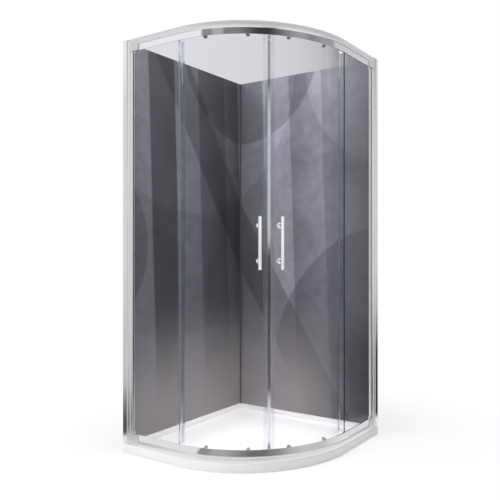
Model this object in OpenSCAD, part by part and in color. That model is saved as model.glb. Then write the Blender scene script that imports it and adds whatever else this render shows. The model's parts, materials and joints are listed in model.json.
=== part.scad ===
/* [Cabin] */
// Side of the square that the cabin fits into
cabin_w = 900; // [800:5:1000]
// Radius of the curved front, at the edge of the tray
arc_r = 550; // [500:5:600]
// Height from the floor to the top of the frame
total_h = 1940; // [1700:5:2100]

/* [Tray] */
// Height of the tray
tray_h = 40; // [35:1:80]
// Depth of the tray's recess
recess_d = 18; // [12:1:20]
// Width of the tray's rim along the two walls
wall_rim = 45; // [35:1:70]
// Width of the tray's rim behind the curved front
front_rim = 95; // [75:1:110]
// Distance from the curved front to the middle of the drain
drain_inset = 165; // [160:1:240]

/* [Drain] */
// Hole through the tray
drain_hole_d = 90; // [80:1:100]
// Width of the flange that rests in the tray
flange_d = 114; // [108:1:120]
// Thickness of the flange
flange_t = 2.5; // [2:0.1:3]
// Thickness of the rubber ring under the flange
gasket_t = 1.5; // [1:0.1:2]
// Depth of the step in the tray that takes the flange
flange_seat = 6; // [5:0.5:8]
// Clearance of the drain body in the tray's hole
drain_clear = 1; // [0.5:0.1:2]
// Wall of the drain body
drain_wall = 4; // [3:0.5:5]
// Bore of the outlet that the waste pipe plugs into
outlet_d = 52; // [48:1:56]
// Depth of that bore
outlet_l = 14; // [10:1:15]
// Width of the drain's cover
cover_d = 110; // [104:1:116]
// Thickness of the cover's rim
cover_t = 2; // [1.5:0.1:3]
// Rise of the cover's dome above its rim
cover_rise = 5; // [3:0.5:8]
// Gap under the cover that the water runs through
cover_gap = 3.5; // [3:0.5:6]

/* [Back panels] */
// Thickness of the back panels
panel_t = 6; // [4:0.5:8]
// Width of the slim profile in the back corner
corner_w = 12; // [10:0.5:16]
// Play of a panel in the corner profile's slot
panel_play = 0.2; // [0.1:0.1:0.4]
// Depth of the corner profile's slots
corner_slot = 5; // [3:0.5:5]

/* [Rails] */
// Height of the rounded face on the top rail
top_crown_h = 28; // [26:1:36]
// Height of the rounded face on the bottom rail
bottom_crown_h = 28; // [26:1:36]
// Height of the flat band between the rounded face and the glass
band_h = 29; // [25:1:36]
// Radius of the rounded face in section
crown_r = 60; // [50:1:90]
// Distance from the tray's edge to the rails
rail_front = 1; // [0.8:0.1:2]
// Distance that the band is set back from the rounded face
band_set = 4.5; // [4:0.1:6]
// Wall thickness of the rails
rail_wall = 2; // [1.6:0.1:2.4]
// Width of the groove for the fixed glass
glass_groove = 6.4; // [6.2:0.1:7]
// Depth of the groove's inner wall
groove_wall_h = 21; // [19:1:24]
// Width of the channel that the wheels run in
channel_w = 18; // [18:0.1:20]
// Distance from the rounded face to the wheels' running face
ledge_drop = 12; // [10:0.5:14]
// Thickness of the ledge that the wheels run on
ledge_t = 2.4; // [2:0.1:3]
// Height of the ledge's turned-up edge
lip_h = 3.5; // [2.5:0.1:4]
// Thickness of the turned edges
lip_t = 1.6; // [1.2:0.1:2]
// Height of the hood that closes the channel from inside
hood_h = 16; // [12:1:17]

/* [Posts] */
// Width of the profile on the wall
wall_profile_w = 26; // [24:1:32]
// Wall thickness of the post profiles
profile_t = 2; // [1.6:0.1:2.4]
// Width of the whole post, wall profile and frame profile together
post_w = 43; // [40:1:50]
// Distance from the wall to the hidden edge of the frame profile
adjust_gap = 10; // [6:1:12]
// Play of the frame profile in the wall profile
profile_play = 0.3; // [0.2:0.1:0.5]
// Width of the glazing profile beside the post
glazing_w = 17; // [14:1:22]
// Thickness of the caps on top of the posts
post_cap_t = 2; // [1.5:0.5:4]
// Diameter of the wall screw holes
wall_hole_d = 5.5; // [5:0.5:6.5]
// Distance between the wall screw holes
wall_hole_pitch = 750; // [600:10:800]

/* [Rail ends] */
// Thickness of the bracket between post and rail
bracket_t = 4; // [3:0.5:6]
// Length of the grey cover on the end of each rail
end_cover_l = 56; // [45:1:70]
// Length of the plug inside the rail
plug_l = 28; // [20:1:40]
// Play of the plug in the rail
plug_play = 0.4; // [0.3:0.1:0.5]

/* [Glass] */
// Thickness of all glass
glass_t = 5; // [4:0.5:5]
// Distance that the fixed glass reaches past the start of the curve
fixed_past = 2; // [1:1:4]
// Gap between the rails and the door glass
door_gap = 9; // [8.5:0.1:11]
// Distance that the door glass reaches behind the start of the curve
door_back = 17; // [14:1:22]
// Height of the rail that the door glass covers at the top, from its upper end
glass_top_h = 20; // [16:1:24]
// The same at the bottom, from the tray
glass_bottom_h = 15; // [14:0.5:18]
// Play of the glass above the bottom rail
glass_seat = 0.3; // [0.2:0.1:0.5]

/* [Seals] */
// Thickness of the seals' walls
seal_t = 1.2; // [1:0.1:1.5]
// Length of the legs that hold a seal on the glass
seal_leg = 10; // [8:0.5:14]
// Gap between two seals that meet
seal_gap = 0.6; // [0.4:0.1:1]
// Distance from the fixed seal's lip to the door glass
lip_clear = 9; // [8:0.5:12]
// Distance from the rear seal's hook to the fixed glass
hook_clear = 4; // [3:0.5:6]
// Width of the magnetic seal in front of the glass edge
magnet_w = 15; // [12:0.5:18]
// Width of the magnet strip
magnet_strip_w = 7; // [5:0.5:8]
// Thickness of the magnet strip
magnet_strip_t = 4; // [3:0.5:5]
// Gap under the wiper at the bottom of the doors
wiper_gap = 2; // [1.5:0.5:4]
// Play between a seal and its glass
seal_play = 0.05; // [0.02:0.01:0.1]

/* [Rollers] */
// Angle of the rear rollers, from the start of the curve
rear_roller_a = 12.5; // [11:0.5:14]
// Angle of the front rollers, from the start of the curve
front_roller_a = 34.5; // [33:0.5:36]
// Diameter of the wheels
wheel_d = 20; // [18:0.5:21]
// Width of the wheels
wheel_w = 5; // [4:0.5:5]
// Distance of the wheels from the middle of their channel, outwards
wheel_off = 0.7; // [0.4:0.1:0.9]
// Diameter of the axles
axle_d = 5; // [4:0.5:6]
// Running clearance of the wheels on their axles, on the radius
axle_clear = 0.05; // [0.03:0.01:0.08]
// Gap between the wheels and their running face
wheel_gap = 0.3; // [0.2:0.1:0.4]
// Thickness of the roller carriers
carrier_t = 3.5; // [3:0.1:4]
// Width of the roller carriers
carrier_w = 14; // [12:1:16]
// Distance from the axle to the clamp bolt
clamp_off = 14; // [14:1:17]
// Diameter of the clamp's plate
clamp_d = 16; // [16:1:20]
// Diameter of the clamp bolt
bolt_d = 8; // [6:0.5:9]
// Diameter of the holes in the door glass
glass_hole_d = 10; // [9.5:0.5:12]
// Diameter of the clamp caps inside
cap_d = 18; // [16:1:28]
// Thickness of the clamp caps
cap_t = 7; // [5:0.5:10]
// Gap between a flat piece and the hollow side of the curved glass
hollow_gap = 0.3; // [0.25:0.05:0.4]

/* [Handles] */
// Distance from the line where the doors meet to a handle, along the glass
handle_off = 44; // [40:1:70]
// Height of the handles' middle above the floor
handle_z = 985; // [900:5:1100]
// Diameter of the bar
bar_d = 16; // [12:1:20]
// Length of the bar
bar_l = 230; // [200:5:400]
// Distance between the two handle posts
bar_pitch = 155; // [120:5:180]
// Distance from the glass to the middle of the bar
bar_stand = 58; // [45:1:70]
// Diameter of the handle posts
handle_post_d = 10; // [8:1:12]
// Diameter of the rosettes against the glass
rosette_d = 26; // [22:1:32]
// Thickness of the rosettes
rosette_t = 5; // [4:0.5:8]
// Diameter of the handle screws
handle_screw_d = 6; // [5:0.5:6]

/* [Door travel] */
// Turn of a door about its pole, from shut to open
door_turn = 22.6; // [18:0.1:23]
// Distance of the pole from the centre of the curve, along the side that the door slides to
pole_side = 30; // [28:1:32]
// Distance of the pole behind the centre of the curve
pole_back = 102; // [100:1:104]
// Length of the rubber stops
stop_l = 15; // [10:1:25]
// Gap between an open door's wheel and its stop
stop_gap = 2.5; // [2:0.5:5]

/* [Hidden] */
$fn = 96;

// Plan of the cabin: the walls lie behind and to the left, the front is straight, curved, straight
half = cabin_w / 2;
straight = cabin_w - arc_r;
arc_x = half - arc_r;
arc_y = arc_r - half;
past = 5;                       // how far a cut runs past what it cuts
far = 2 * cabin_w;

// Depths in the rails' section, measured inwards from the tray's edge
band_n = rail_front + band_set;
groove_n = band_n + rail_wall;
back_n = groove_n + glass_groove;
channel_n = back_n + rail_wall;
lip_n = channel_n + channel_w;
rail_depth = lip_n + lip_t;
wheel_n = channel_n + channel_w / 2 - wheel_off;
fixed_n = groove_n + (glass_groove - glass_t) / 2;
door_r = arc_r - rail_depth - door_gap;      // outer face of the door glass
door_in_r = door_r - glass_t;

// Heights in the rails' section, measured from the rail's outer end
function rail_h(crown) = crown + band_h;
function ledge_h(crown) = crown + ledge_drop;
function axle_h(crown) = ledge_h(crown) - wheel_gap - wheel_d / 2;
function clamp_h(crown) = axle_h(crown) + clamp_off;
bottom_inner_z = tray_h + rail_h(bottom_crown_h);    // clear height between the rails
top_inner_z = total_h - rail_h(top_crown_h);
top_axle_z = total_h - axle_h(top_crown_h);
top_clamp_z = total_h - clamp_h(top_crown_h);
bottom_axle_z = tray_h + axle_h(bottom_crown_h);
bottom_clamp_z = tray_h + clamp_h(bottom_crown_h);

// Distances along the straight front, measured from the wall
frame_s = adjust_gap;
rail_s = post_w + bracket_t;
fixed_s = rail_s + glass_seat;
fixed_edge_s = straight + fixed_past;
post_top_z = total_h - post_cap_t;
mid_z = (tray_h + total_h) / 2;

// Doors
door_glass_z0 = tray_h + glass_bottom_h;
door_glass_z1 = total_h - glass_top_h;
arc_deg = 180 / PI / door_r;                 // degrees for one millimetre along the door glass
rear_a = -door_back * arc_deg;
lead_a = 45 - (magnet_w + seal_gap / 2) * arc_deg;
meet_a = 45 - seal_gap / 2 * arc_deg;
handle_a = 45 - handle_off * arc_deg;
handle_post_z = [handle_z - bar_pitch / 2, handle_z + bar_pitch / 2];

roller_a = [rear_roller_a, front_roller_a];

// Place of a wheel when its door is open, turned about the pole
wheel_r = arc_r - wheel_n;
wheel_side = wheel_r * sin(rear_roller_a) + pole_side;
wheel_back = wheel_r * cos(rear_roller_a) + pole_back;
open_wheel_s = straight - pole_side + wheel_side * cos(door_turn) - wheel_back * sin(door_turn);
stop_s = open_wheel_s - wheel_d / 2 - stop_gap;

// The right half is the left half mirrored about the diagonal
module flip() mirror([1, 1, 0]) children();
module both() { children(); flip() children(); }

// x runs along the straight front from the wall, y inwards from the tray's edge
module on_front() translate([-half, -half, 0]) children();

// x points outwards from the curve's centre, at angle a from the start of the curve
module at_arc(a) translate([arc_x, arc_y, 0]) rotate([0, 0, a - 90]) children();

// A round bar along the outward direction, from radius r0 to r1
module spoke(a, z, r0, r1, d)
    at_arc(a) translate([r0, 0, z]) rotate([0, 90, 0]) cylinder(h = r1 - r0, d = d);

// Plan outline of the cabin, set in from the front edge
module plan(inset) intersection() {
    translate([-half, -half + inset]) square(cabin_w - inset);
    union() {
        translate([-half, -half]) square([straight, cabin_w]);
        translate([-half, arc_y]) square([cabin_w, straight]);
        translate([arc_x, arc_y]) circle(r = arc_r - inset, $fn = 180);
    }
}

// Flat piece of a ring about the curve's centre, between two angles
module sector(r0, r1, a0, a1) translate([arc_x, arc_y]) intersection() {
    difference() { circle(r = r1, $fn = 180); circle(r = r0, $fn = 180); }
    polygon([[0, 0], for (a = [a0, (a0 + a1) / 2, a1]) far * [sin(a), -cos(a)]]);
}

// Upright wall that follows the door glass
module curved_wall(r0, r1, a0, a1, z0, z1)
    translate([0, 0, z0]) linear_extrude(z1 - z0) sector(r0, r1, a0, a1);

// Section of the wheels' rails: depth to the right, height from the rail's outer end upwards
module rail_section(crown) {
    difference() {
        intersection() {
            translate([rail_front + crown_r, crown / 2]) circle(r = crown_r, $fn = 180);
            square([channel_n, crown]);
        }
        intersection() {
            translate([rail_front + crown_r, crown / 2]) circle(r = crown_r - rail_wall, $fn = 180);
            translate([0, rail_wall]) square([back_n, crown - 2 * rail_wall]);
        }
    }
    translate([band_n, crown - rail_wall]) square([rail_wall, band_h + rail_wall]);
    translate([back_n, crown - rail_wall]) square([rail_wall, groove_wall_h + rail_wall]);
    translate([back_n, ledge_h(crown)]) square([rail_depth - back_n, ledge_t]);
    translate([lip_n, ledge_h(crown) - lip_h]) square([lip_t, lip_h + ledge_t]);
    translate([back_n, 0]) square([rail_depth - back_n, rail_wall]);
    translate([lip_n, 0]) square([lip_t, hood_h]);
}

// Carries a section along the straight, curved and straight front
module along_front(start) {
    both() on_front() translate([start, 0, 0]) rotate([90, 0, 90])
        linear_extrude(straight - start) children();
    at_arc(0) rotate_extrude(angle = 90, $fn = 180) translate([arc_r, 0]) mirror([1, 0]) children();
}

module rail_blank(crown) along_front(rail_s) rail_section(crown);
module to_top() translate([0, 0, total_h]) mirror([0, 0, 1]) children();
module to_bottom() translate([0, 0, tray_h]) children();

// Tray and drain
floor_z = tray_h - recess_d;
seat_z = floor_z - flange_seat;
flange_z = seat_z + gasket_t;
drain_body_d = drain_hole_d - 2 * drain_clear;
outlet_z = 1;                                 // the outlet stays this far above the floor
cover_z = flange_z + flange_t + cover_gap;
module at_drain() at_arc(45) translate([arc_r - drain_inset, 0, 0]) children();

module shower_tray() color("white") difference() {
    linear_extrude(tray_h) plan(0);
    translate([0, 0, floor_z]) linear_extrude(recess_d + past) intersection() {
        plan(front_rim);
        translate([-half + wall_rim, -half]) square(cabin_w - wall_rim);
    }
    at_drain() translate([0, 0, seat_z]) cylinder(h = flange_seat + past, d = flange_d + 2 * drain_clear);
    at_drain() translate([0, 0, -past]) cylinder(h = tray_h, d = drain_hole_d);
}

module drain_body() color("silver") at_drain() difference() {
    union() {
        translate([0, 0, flange_z]) cylinder(h = flange_t, d = flange_d);
        translate([0, 0, outlet_z + drain_wall])
            cylinder(h = flange_z - outlet_z - drain_wall + flange_t / 2, d = drain_body_d);
        translate([0, 0, outlet_z]) cylinder(h = outlet_l, d = outlet_d + 2 * drain_wall);
    }
    difference() {
        translate([0, 0, outlet_z + 2 * drain_wall])
            cylinder(h = tray_h, d = drain_body_d - 2 * drain_wall);
        cylinder(h = outlet_z + outlet_l, d = outlet_d + 2 * drain_wall);
    }
    translate([0, 0, -past]) cylinder(h = tray_h, d = outlet_d);
}

module drain_gasket() color("dimgray") at_drain() translate([0, 0, seat_z]) difference() {
    cylinder(h = gasket_t, d = flange_d);
    translate([0, 0, -past]) cylinder(h = gasket_t + 2 * past, d = drain_hole_d + 2 * drain_clear);
}

// A domed cover on three feet, with a skirt that centres it in the drain body
dome_r = (cover_d * cover_d / 4 + cover_rise * cover_rise) / (2 * cover_rise);
foot_d = 4;
skirt_t = 2;
skirt_d = drain_body_d - 2 * drain_wall - 4 * drain_clear;
module drain_cover() color("silver") at_drain() {
    translate([0, 0, cover_z]) cylinder(h = cover_t, d = cover_d);
    translate([0, 0, cover_z + cover_t]) rotate_extrude() intersection() {
        translate([0, cover_rise - dome_r]) circle(r = dome_r, $fn = 360);
        square([cover_d / 2, cover_rise]);
    }
    for (a = [0, 120, 240]) rotate([0, 0, a])
        translate([(flange_d + drain_body_d) / 4, 0, cover_z - cover_gap])
            cylinder(h = cover_gap + cover_t / 2, d = foot_d, $fn = 32);
    translate([0, 0, flange_z]) difference() {
        cylinder(h = cover_z - flange_z + cover_t / 2, d = skirt_d);
        translate([0, 0, -past]) cylinder(h = cover_z - flange_z + past, d = skirt_d - 2 * skirt_t);
    }
}

// Back panels and their corner profile
module left_back_panel() color("dimgray")
    translate([-half, -half + rail_depth, tray_h])
    cube([panel_t, cabin_w - rail_depth - corner_w + corner_slot - panel_play, total_h - tray_h]);

module corner_profile() color("darkslategray") translate([-half, half, tray_h]) difference() {
    mirror([0, 1, 0]) linear_extrude(total_h - tray_h) difference() {
        union() {
            square(corner_w - panel_t / 2);
            translate([corner_w - panel_t, corner_w - panel_t]) circle(r = panel_t);
            square([corner_w, panel_t]);
            square([panel_t, corner_w]);
        }
        translate([corner_w - corner_slot, -past])
            square([corner_slot + past, panel_t + panel_play + past]);
        translate([-past, corner_w - corner_slot])
            square([panel_t + panel_play + past, corner_slot + past]);
    }
}

// Posts: a wall profile, a frame profile that slides in it, a glazing profile beside them
module wall_profile() color("gainsboro") on_front() difference() {
    translate([0, rail_front, tray_h])
        cube([wall_profile_w, rail_depth - rail_front, post_top_z - tray_h]);
    translate([profile_t, rail_front + profile_t, -past])
        cube([wall_profile_w, rail_depth - rail_front - 2 * profile_t, total_h + 2 * past]);
    for (k = [-1, 0, 1]) translate([-past, post_mid_n, mid_z + k * wall_hole_pitch])
        rotate([0, 90, 0]) cylinder(h = profile_t + 2 * past, d = wall_hole_d);
    for (k = [-1, 0, 1]) frame_screw(k, frame_screw_d + 2 * screw_play, 0);
}

post_mid_n = (rail_front + rail_depth) / 2;
frame_n0 = rail_front + profile_t + profile_play;
frame_n1 = rail_depth - profile_t - profile_play;
module frame_profile() color("whitesmoke") on_front() difference() {
    translate([frame_s, frame_n0, tray_h])
        cube([post_w - frame_s, frame_n1 - frame_n0, post_top_z - tray_h]);
    translate([frame_s + profile_t, frame_n0 + profile_t, -past])
        cube([post_w - frame_s - 2 * profile_t, frame_n1 - frame_n0 - 2 * profile_t, total_h + 2 * past]);
    for (k = [-1, 0, 1]) frame_screw(k, frame_screw_d + 2 * screw_play, 0);
    both_rails() rail_screw_pair(rail_screw_d + 2 * screw_play, 0);
}

module post_caps() color("lightgray") both() on_front()
    translate([0, rail_front, post_top_z]) cube([post_w, rail_depth - rail_front, post_cap_t]);

module glazing_profile() color("whitesmoke") on_front() difference() {
    translate([post_w, band_n, bottom_inner_z])
        cube([glazing_w, channel_n - band_n, top_inner_z - bottom_inner_z]);
    translate([post_w + profile_t, groove_n, 0]) cube([glazing_w, glass_groove, total_h]);
}

module glass_gasket() color("gray") on_front() difference() {
    translate([post_w + profile_t, groove_n, bottom_inner_z])
        cube([glazing_w - profile_t, glass_groove, top_inner_z - bottom_inner_z]);
    translate([fixed_s, fixed_n, 0]) cube([glazing_w, glass_t, total_h]);
}

// Screws: pan heads, the same screw for every place of a kind
frame_screw_d = 4.2;
rail_screw_d = 3.9;
screw_play = 0.05;
screw_head_d = 8;
screw_head_t = 2.2;
frame_screw_pitch = 720;
frame_screw_s = (frame_s + wall_profile_w) / 2;
cap_wall = 1.5;
cap_bore_d = screw_head_d + 2 * screw_play;
module frame_screw(k, d, head) translate([frame_screw_s, 0, mid_z + k * frame_screw_pitch]) {
    translate([0, frame_n1 - 2 * profile_t, 0]) rotate([-90, 0, 0])
        cylinder(h = rail_depth - frame_n1 + 2 * profile_t + screw_play, d = d);
    if (head > 0) translate([0, rail_depth, 0]) rotate([-90, 0, 0])
        cylinder(h = head, d = screw_head_d);
}
module frame_screws() color("silver") both() on_front()
    for (k = [-1, 0, 1]) frame_screw(k, frame_screw_d, screw_head_t);

module screw_caps() color("white") both() on_front() for (k = [-1, 0, 1])
    translate([frame_screw_s, rail_depth, mid_z + k * frame_screw_pitch]) rotate([-90, 0, 0]) difference() {
        cylinder(h = screw_head_t + screw_play + cap_wall, d = cap_bore_d + 2 * cap_wall);
        translate([0, 0, -past]) cylinder(h = screw_head_t + screw_play + past, d = cap_bore_d);
    }

// The rail screws run from inside the post through the bracket into its plug
hollow_r = crown_r - rail_wall;
hollow_h = top_crown_h / 2 - rail_wall;
plug_n0 = rail_front + crown_r - sqrt(pow(hollow_r, 2) - pow(hollow_h, 2)) + plug_play;
plug_n1 = back_n - plug_play;
rail_screw_n = frame_n0 + profile_t + profile_play + screw_head_d / 2;
rail_screw_l = bracket_t + plug_l / 2;
module rail_screw_pair(d, head, crown = bottom_crown_h) for (h = [crown / 4, crown * 3 / 4])
    translate([post_w - profile_t, rail_screw_n, h]) rotate([0, 90, 0]) {
        cylinder(h = profile_t + rail_screw_l, d = d);
        if (head > 0) translate([0, 0, -head]) cylinder(h = head, d = screw_head_d);
    }
module both_rails() {
    to_bottom() children();
    to_top() children();
}
module rail_screws() color("silver") both() on_front() both_rails()
    rail_screw_pair(rail_screw_d, screw_head_t);

// Rails
module top_rail() color("gainsboro") to_top() rail_blank(top_crown_h);
module bottom_rail() color("gainsboro") to_bottom() rail_blank(bottom_crown_h);

// Bracket: an end plate, a plug in the rail's hollow and a grey cover on the rail's face
cover_front = 0.2;                            // the cover's face lies this far behind the tray's edge
module bracket(crown) color("darkgray") on_front() difference() {
    union() {
        translate([post_w, band_n, 0]) cube([bracket_t, rail_depth - band_n, rail_h(crown)]);
        translate([post_w, plug_n0, rail_wall + plug_play])
            cube([bracket_t + plug_l, plug_n1 - plug_n0, crown - 2 * rail_wall - 2 * plug_play]);
        difference() {
            translate([post_w, cover_front, crown / 3])
                cube([end_cover_l, band_n - cover_front, rail_h(crown) - crown / 3]);
            translate([post_w + bracket_t, rail_front + crown_r, crown / 2]) rotate([0, 90, 0])
                intersection() {
                    cylinder(h = end_cover_l, r = crown_r + screw_play, $fn = 180);
                    translate([-crown / 2 - screw_play, -2 * crown_r, 0])
                        cube([crown + screw_play, 4 * crown_r, end_cover_l]);
                }
        }
    }
    rail_screw_pair(rail_screw_d + 2 * screw_play, 0);
}

// Fixed glass and its seal
glass_head = 5;                               // room above the fixed glass, to lift it in
fixed_h = total_h - top_crown_h - glass_head - tray_h - bottom_crown_h;
module fixed_glass() color("lightcyan", 0.4) on_front()
    translate([fixed_s, fixed_n, tray_h + bottom_crown_h + glass_seat])
    cube([fixed_edge_s - fixed_s, glass_t, fixed_h]);

fixed_lip_n = rail_depth + door_gap - lip_clear;
fixed_leg_n = fixed_n - seal_play - seal_t;
fixed_lip_s = fixed_edge_s + seal_play;
module fixed_seal() color("white", 0.8) on_front() translate([0, 0, bottom_inner_z + seal_gap])
    linear_extrude(top_inner_z - bottom_inner_z - 2 * seal_gap) {
        for (n = [fixed_leg_n, fixed_n + glass_t + seal_play])
            translate([fixed_edge_s - seal_leg, n]) square([seal_leg + seal_play + seal_t, seal_t]);
        translate([fixed_lip_s, fixed_leg_n]) square([seal_t, fixed_lip_n - fixed_n]);
        translate([fixed_lip_s + seal_t / 2, fixed_lip_n - seal_t]) circle(r = seal_t, $fn = 32);
    }

// Rubber stops in the channels, where the rear wheels end
module stop(crown) translate([stop_s - stop_l, channel_n, ledge_h(crown) - wheel_d])
    cube([stop_l, channel_w, wheel_d]);
module door_stops() color("dimgray") both() on_front() {
    to_top() stop(top_crown_h);
    to_bottom() stop(bottom_crown_h);
}

// Door glass with its holes
module door_glass() color("lightcyan", 0.4) difference() {
    curved_wall(door_in_r, door_r, rear_a, lead_a, door_glass_z0, door_glass_z1);
    for (a = roller_a, z = [top_clamp_z, bottom_clamp_z])
        spoke(a, z, door_in_r - past, door_r + past, glass_hole_d);
    for (z = handle_post_z) spoke(handle_a, z, door_in_r - past, door_r + past, glass_hole_d);
}

// Seals on the door's upright edges
leg_in_r = door_in_r - seal_play - seal_t;
leg_out_r = door_r + seal_play + seal_t;
seal_deg = seal_t * arc_deg;
play_deg = seal_play * arc_deg;
module edge_legs(edge, dir) {
    reach = edge - dir * seal_leg * arc_deg;
    tip = edge + dir * (play_deg + seal_deg);
    sector(leg_in_r, door_in_r - seal_play, min(reach, tip), max(reach, tip));
    sector(door_r + seal_play, leg_out_r, min(reach, tip), max(reach, tip));
    sector(leg_in_r, leg_out_r, min(edge + dir * play_deg, tip), max(edge + dir * play_deg, tip));
}

module at_door_height()
    translate([0, 0, door_glass_z0]) linear_extrude(door_glass_z1 - door_glass_z0) children();

glass_mid_r = (door_r + door_in_r) / 2;
module magnet_pocket(play) sector(
    glass_mid_r - magnet_strip_w / 2 - play, glass_mid_r + magnet_strip_w / 2 + play,
    meet_a - (seal_t + magnet_strip_t + play) * arc_deg, meet_a - (seal_t - play) * arc_deg);
module magnet_seal() color("white", 0.8) at_door_height() {
    edge_legs(lead_a, 1);
    difference() {
        sector(glass_mid_r - magnet_strip_w / 2 - seal_t, glass_mid_r + magnet_strip_w / 2 + seal_t,
            lead_a + play_deg, meet_a);
        magnet_pocket(seal_play);
    }
}
module magnet_strip() color("slategray") at_door_height() magnet_pocket(0);

// The hook of the rear seal meets the fixed seal's lip from behind
hook_s = fixed_edge_s - seal_gap;
hook_n = fixed_n + glass_t + hook_clear;
module rear_seal() color("white", 0.8) translate([0, 0, bottom_inner_z + seal_gap])
    linear_extrude(top_inner_z - bottom_inner_z - 2 * seal_gap) {
        edge_legs(rear_a, -1);
        sector(door_r + seal_play, leg_out_r, rear_a - seal_deg, 0);
        translate([-half, -half]) {
            translate([straight - seal_t, leg_n]) square([hook_s - straight + seal_t, seal_t]);
            translate([hook_s - seal_t, hook_n]) square([seal_t, leg_n - hook_n + seal_t]);
        }
    }
leg_n = arc_r - leg_out_r;

// Wiper under the door glass: two legs, a bridge and a lip
wiper_z = tray_h + wiper_gap;
wiper_leg_z = min(door_glass_z0 + seal_leg, bottom_axle_z - carrier_w / 2 - seal_t / 2);
wiper_a = lead_a - (seal_leg + seal_gap) * arc_deg;
module bottom_seal() color("white", 0.8) {
    bridge_z = door_glass_z0 - seal_play - seal_t;
    curved_wall(leg_in_r, door_in_r - seal_play, rear_a, wiper_a, bridge_z, wiper_leg_z);
    curved_wall(door_r + seal_play, leg_out_r, rear_a, wiper_a, bridge_z, wiper_leg_z);
    curved_wall(leg_in_r, leg_out_r, rear_a, wiper_a, bridge_z, bridge_z + seal_t);
    curved_wall(glass_mid_r, glass_mid_r + seal_t, rear_a, wiper_a, wiper_z, bridge_z + seal_t / 2);
}

// Handle: a bar on two posts with rosettes, held by screws from inside
bar_r = door_r + bar_stand;
rosette_r = door_r + seal_play;
inside_r = door_in_r - hollow_gap;
screw_reach = 15;
module handle_bar() color("whitesmoke") at_arc(handle_a)
    translate([bar_r, 0, handle_z - bar_l / 2]) cylinder(h = bar_l, d = bar_d);

module handle_posts() color("whitesmoke") for (z = handle_post_z) difference() {
    union() {
        spoke(handle_a, z, rosette_r, rosette_r + rosette_t, rosette_d);
        spoke(handle_a, z, rosette_r, bar_r, handle_post_d);
    }
    at_arc(handle_a) translate([bar_r, 0, 0]) cylinder(h = total_h, d = bar_d + 2 * screw_play);
    spoke(handle_a, z, door_in_r, rosette_r + screw_reach, handle_screw_d + 2 * screw_play);
}

handle_cap_d = 18;
handle_cap_t = 4;
module handle_screws() color("silver") for (z = handle_post_z) {
    spoke(handle_a, z, inside_r - handle_cap_t, inside_r, handle_cap_d);
    spoke(handle_a, z, inside_r - screw_play, rosette_r + screw_reach - screw_play, handle_screw_d);
}

// Roller carriers: a plate on the glass, a clamp bolt through it and an axle for the wheel
carrier_r = door_r + seal_play;
axle_head_d = 8;
axle_head_t = 1.3;
side_play = 0.3;
module carrier(a, axle_z, clamp_z) {
    wheel_r0 = wheel_r - wheel_w / 2 - side_play;
    wheel_r1 = wheel_r + wheel_w / 2 + side_play;
    spoke(a, axle_z, carrier_r, carrier_r + carrier_t, carrier_w);
    spoke(a, clamp_z, carrier_r, carrier_r + carrier_t, clamp_d);
    at_arc(a) translate([carrier_r, -carrier_w / 2, min(axle_z, clamp_z)])
        cube([carrier_t, carrier_w, clamp_off]);
    spoke(a, axle_z, carrier_r + carrier_t / 2, wheel_r0, axle_head_d);
    spoke(a, axle_z, carrier_r, wheel_r1 + axle_head_t, axle_d);
    spoke(a, axle_z, wheel_r1, wheel_r1 + axle_head_t, axle_head_d);
    spoke(a, clamp_z, inside_r - cap_t / 2, carrier_r + carrier_t / 2, bolt_d);
}
module roller_carriers() color("silver") for (a = roller_a) carrier(a, top_axle_z, top_clamp_z);
module lower_guides() color("lightgray") for (a = roller_a) carrier(a, bottom_axle_z, bottom_clamp_z);

module clamp_caps() color("silver")
    for (a = roller_a, z = [top_clamp_z, bottom_clamp_z]) difference() {
        spoke(a, z, inside_r - cap_t, inside_r, cap_d);
        spoke(a, z, inside_r - cap_t / 2 - screw_play, door_in_r, bolt_d + 2 * screw_play);
    }

// Wheel with a rounded tread, a bore and three light holes
tread_r = wheel_w * 1.5;
light_hole_d = wheel_d / 7;
module wheel(a, z) color("ivory") at_arc(a) translate([wheel_r, 0, z]) rotate([0, 90, 0]) difference() {
    rotate_extrude() intersection() {
        translate([axle_d / 2 + axle_clear, -wheel_w / 2])
            square([(wheel_d - axle_d) / 2 - axle_clear, wheel_w]);
        union() {
            translate([wheel_d / 2 - tread_r, 0]) circle(r = tread_r, $fn = 180);
            translate([0, -wheel_w / 2]) square([wheel_d / 2 - tread_r, wheel_w]);
        }
    }
    for (k = [0, 120, 240]) rotate([0, 0, k]) translate([(wheel_d + axle_d) / 4, 0, -wheel_w])
        cylinder(h = 2 * wheel_w, d = light_hole_d, $fn = 32);
}

shower_tray();
drain_body();
drain_gasket();
drain_cover();
left_back_panel();
flip() left_back_panel();  // right_back_panel
corner_profile();
wall_profile();  // left_wall_profile
flip() wall_profile();  // right_wall_profile
frame_profile();  // left_frame_profile
flip() frame_profile();  // right_frame_profile
post_caps();
glazing_profile();  // left_glazing_profile
flip() glazing_profile();  // right_glazing_profile
glass_gasket();  // left_glass_gasket
flip() glass_gasket();  // right_glass_gasket
top_rail();
bottom_rail();
to_top() bracket(top_crown_h);  // top_left_bracket
flip() to_top() bracket(top_crown_h);  // top_right_bracket
to_bottom() bracket(bottom_crown_h);  // bottom_left_bracket
flip() to_bottom() bracket(bottom_crown_h);  // bottom_right_bracket
fixed_glass();  // left_fixed_glass
flip() fixed_glass();  // right_fixed_glass
fixed_seal();  // left_fixed_seal
flip() fixed_seal();  // right_fixed_seal
frame_screws();
screw_caps();
rail_screws();
door_stops();
door_glass();  // left_door_glass
magnet_seal();  // left_magnet_seal
magnet_strip();  // left_magnet_strip
rear_seal();  // left_rear_seal
bottom_seal();  // left_bottom_seal
handle_bar();  // left_handle_bar
handle_posts();  // left_handle_posts
handle_screws();  // left_handle_screws
roller_carriers();  // left_roller_carriers
lower_guides();  // left_lower_guides
clamp_caps();  // left_clamp_caps
wheel(front_roller_a, top_axle_z);  // left_top_wheel_front
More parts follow.
